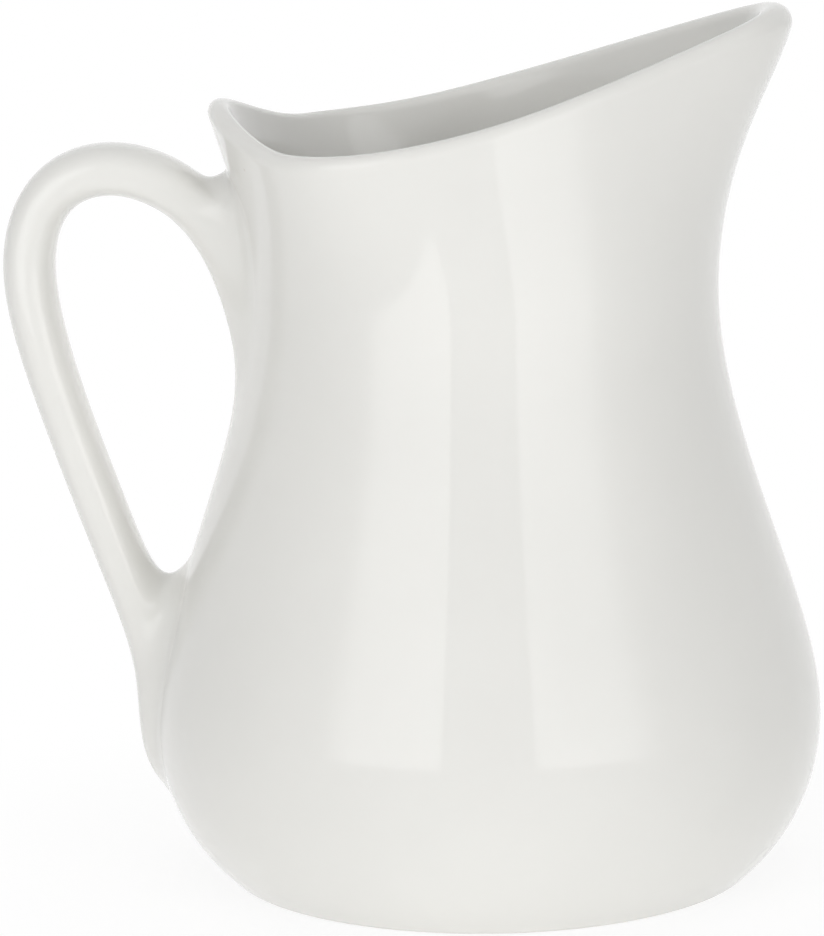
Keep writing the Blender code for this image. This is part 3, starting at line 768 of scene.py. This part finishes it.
PANEL_DISTANCE = 0.60
PANEL_NEAR = radians(15.0)    # bearing of the panels' inner edges, either side of the lens
PANEL_FAR = radians(58.0)
PANEL_HEIGHT = 0.52
PANEL_LEFT = 1.28             # radiance
PANEL_RIGHT = 1.13
PANEL_FADE = 0.30             # share of a panel's width over which its far edge fades
PANEL_COLOUR = (1.0, 1.0, 0.985)


def panel(name, side, radiance):
    """An upright light panel that stands on the table and that the glaze mirrors.

    Its light fades out towards the edge that is further from the lens.
    """
    bearing = side * (PANEL_NEAR + PANEL_FAR) / 2
    width = 2 * PANEL_DISTANCE * tan((PANEL_FAR - PANEL_NEAR) / 2)
    light = bpy.data.lights.new(name, "AREA")
    light.shape = "RECTANGLE"
    light.size = width
    light.size_y = PANEL_HEIGHT
    light.energy = radiance * pi * width * PANEL_HEIGHT
    light.color = PANEL_COLOUR
    light.use_nodes = True
    tree = light.node_tree
    across = add(tree, "ShaderNodeSeparateXYZ", inputs={
        0: add(tree, "ShaderNodeNewGeometry").outputs["Parametric"]}).outputs["X"]
    far_edge = 1.0 if side > 0 else 0.0
    fade = add(tree, "ShaderNodeMapRange", interpolation_type="SMOOTHSTEP", inputs={
        "Value": across, "From Min": far_edge, "From Max": far_edge - side * PANEL_FADE})
    tree.links.new(fade.outputs["Result"], tree.nodes["Emission"].inputs["Strength"])
    lamp = bpy.data.objects.new(name, light)
    lamp.location = (AXIS[0] + PANEL_DISTANCE * sin(bearing),
                     AXIS[1] - PANEL_DISTANCE * cos(bearing), PANEL_HEIGHT / 2)
    lamp.rotation_euler = (pi / 2, 0.0, bearing)
    lamp.visible_camera = False
    lamp.visible_diffuse = False
    bpy.context.scene.collection.objects.link(lamp)


panel("left_panel", -1.0, PANEL_LEFT)
panel("right_panel", 1.0, PANEL_RIGHT)

# What the cloth sheds on the clay: two soft lobes in front, a glow from behind the pitcher
# and one overhead
KEY_BEARING = radians(35.0)
KEY_RISE = radians(10.0)
KEY_CORE, KEY_REACH = cos(radians(14.0)), cos(radians(26.0))    # full inside, none outside
KEY_LEFT = 3.55
KEY_RIGHT = 3.27
TENT_BACK = 1.1
BACK_REACH, BACK_CORE = 0.45, 0.85      # of the direction's Y: none below, full above
TENT_TOP = 1.44
TOP_REACH, TOP_CORE = 0.75, 0.95        # of the direction's Z
TENT_WHITE = (1.0, 1.0, 1.0, 1.0)
world = bpy.data.worlds.new("light_tent")
bpy.context.scene.world = world
world.use_nodes = True
tree = world.node_tree
tree.nodes.clear()
direction = add(tree, "ShaderNodeTexCoord").outputs["Generated"]
towards = add(tree, "ShaderNodeSeparateXYZ", inputs={0: direction})


def lobe(side, level):
    """Light from one bearing in front, even in its middle and fading round it."""
    middle = (side * sin(KEY_BEARING) * cos(KEY_RISE), -cos(KEY_BEARING) * cos(KEY_RISE),
              sin(KEY_RISE))
    near = add(tree, "ShaderNodeVectorMath", operation="DOT_PRODUCT", inputs={
        0: direction, 1: middle})
    return add(tree, "ShaderNodeMapRange", interpolation_type="SMOOTHSTEP", inputs={
        "Value": near.outputs["Value"], "From Min": KEY_REACH, "From Max": KEY_CORE,
        "To Max": level}).outputs["Result"]


behind = add(tree, "ShaderNodeMapRange", interpolation_type="SMOOTHSTEP", inputs={
    "Value": towards.outputs["Y"], "From Min": BACK_REACH, "From Max": BACK_CORE,
    "To Max": TENT_BACK}).outputs["Result"]
overhead = add(tree, "ShaderNodeMapRange", interpolation_type="SMOOTHSTEP", inputs={
    "Value": towards.outputs["Z"], "From Min": TOP_REACH, "From Max": TOP_CORE,
    "To Max": TENT_TOP}).outputs["Result"]
shed = lobe(-1.0, KEY_LEFT)
for part in (lobe(1.0, KEY_RIGHT), behind, overhead):
    shed = add(tree, "ShaderNodeMath", operation="ADD", inputs={0: shed, 1: part}).outputs[0]
strength = add(tree, "ShaderNodeMix", data_type="FLOAT", inputs={
    0: seen_white(tree), 2: shed, 3: 1.0})
tent = add(tree, "ShaderNodeBackground", inputs={
    "Color": TENT_WHITE, "Strength": strength.outputs[0]})
add(tree, "ShaderNodeOutputWorld", inputs={"Surface": tent.outputs[0]})

# ---- Camera ---------------------------------------------------------------------------
# A long lens a little above the rim, looking along +Y at the side of the pitcher.

CAMERA_DISTANCE, CAMERA_HEIGHT = 0.880, 0.24543
CAMERA_PLACE = Vector((AXIS[0], AXIS[1] - CAMERA_DISTANCE, CAMERA_HEIGHT))
CAMERA_PAN, CAMERA_TILT, CAMERA_ROLL = -0.01632, 0.18578, -0.01682
LENS = 174.92                 # millimetres, on a sensor 36 mm wide
forward = Vector((sin(CAMERA_PAN) * cos(CAMERA_TILT), cos(CAMERA_PAN) * cos(CAMERA_TILT),
                  -sin(CAMERA_TILT)))
right = Vector((cos(CAMERA_PAN), -sin(CAMERA_PAN), 0.0))
up = right.cross(forward)
rolled_right = right * cos(CAMERA_ROLL) + up * sin(CAMERA_ROLL)
rolled_up = up * cos(CAMERA_ROLL) - right * sin(CAMERA_ROLL)
lens = bpy.data.cameras.new("camera")
lens.lens = LENS
lens.sensor_width = 36.0
camera = bpy.data.objects.new("camera", lens)
turn = Matrix((rolled_right, rolled_up, -forward)).transposed()
camera.matrix_world = Matrix.Translation(CAMERA_PLACE) @ turn.to_4x4()
bpy.context.scene.collection.objects.link(camera)
bpy.context.scene.camera = camera
bpy.context.scene.view_settings.view_transform = "Standard"
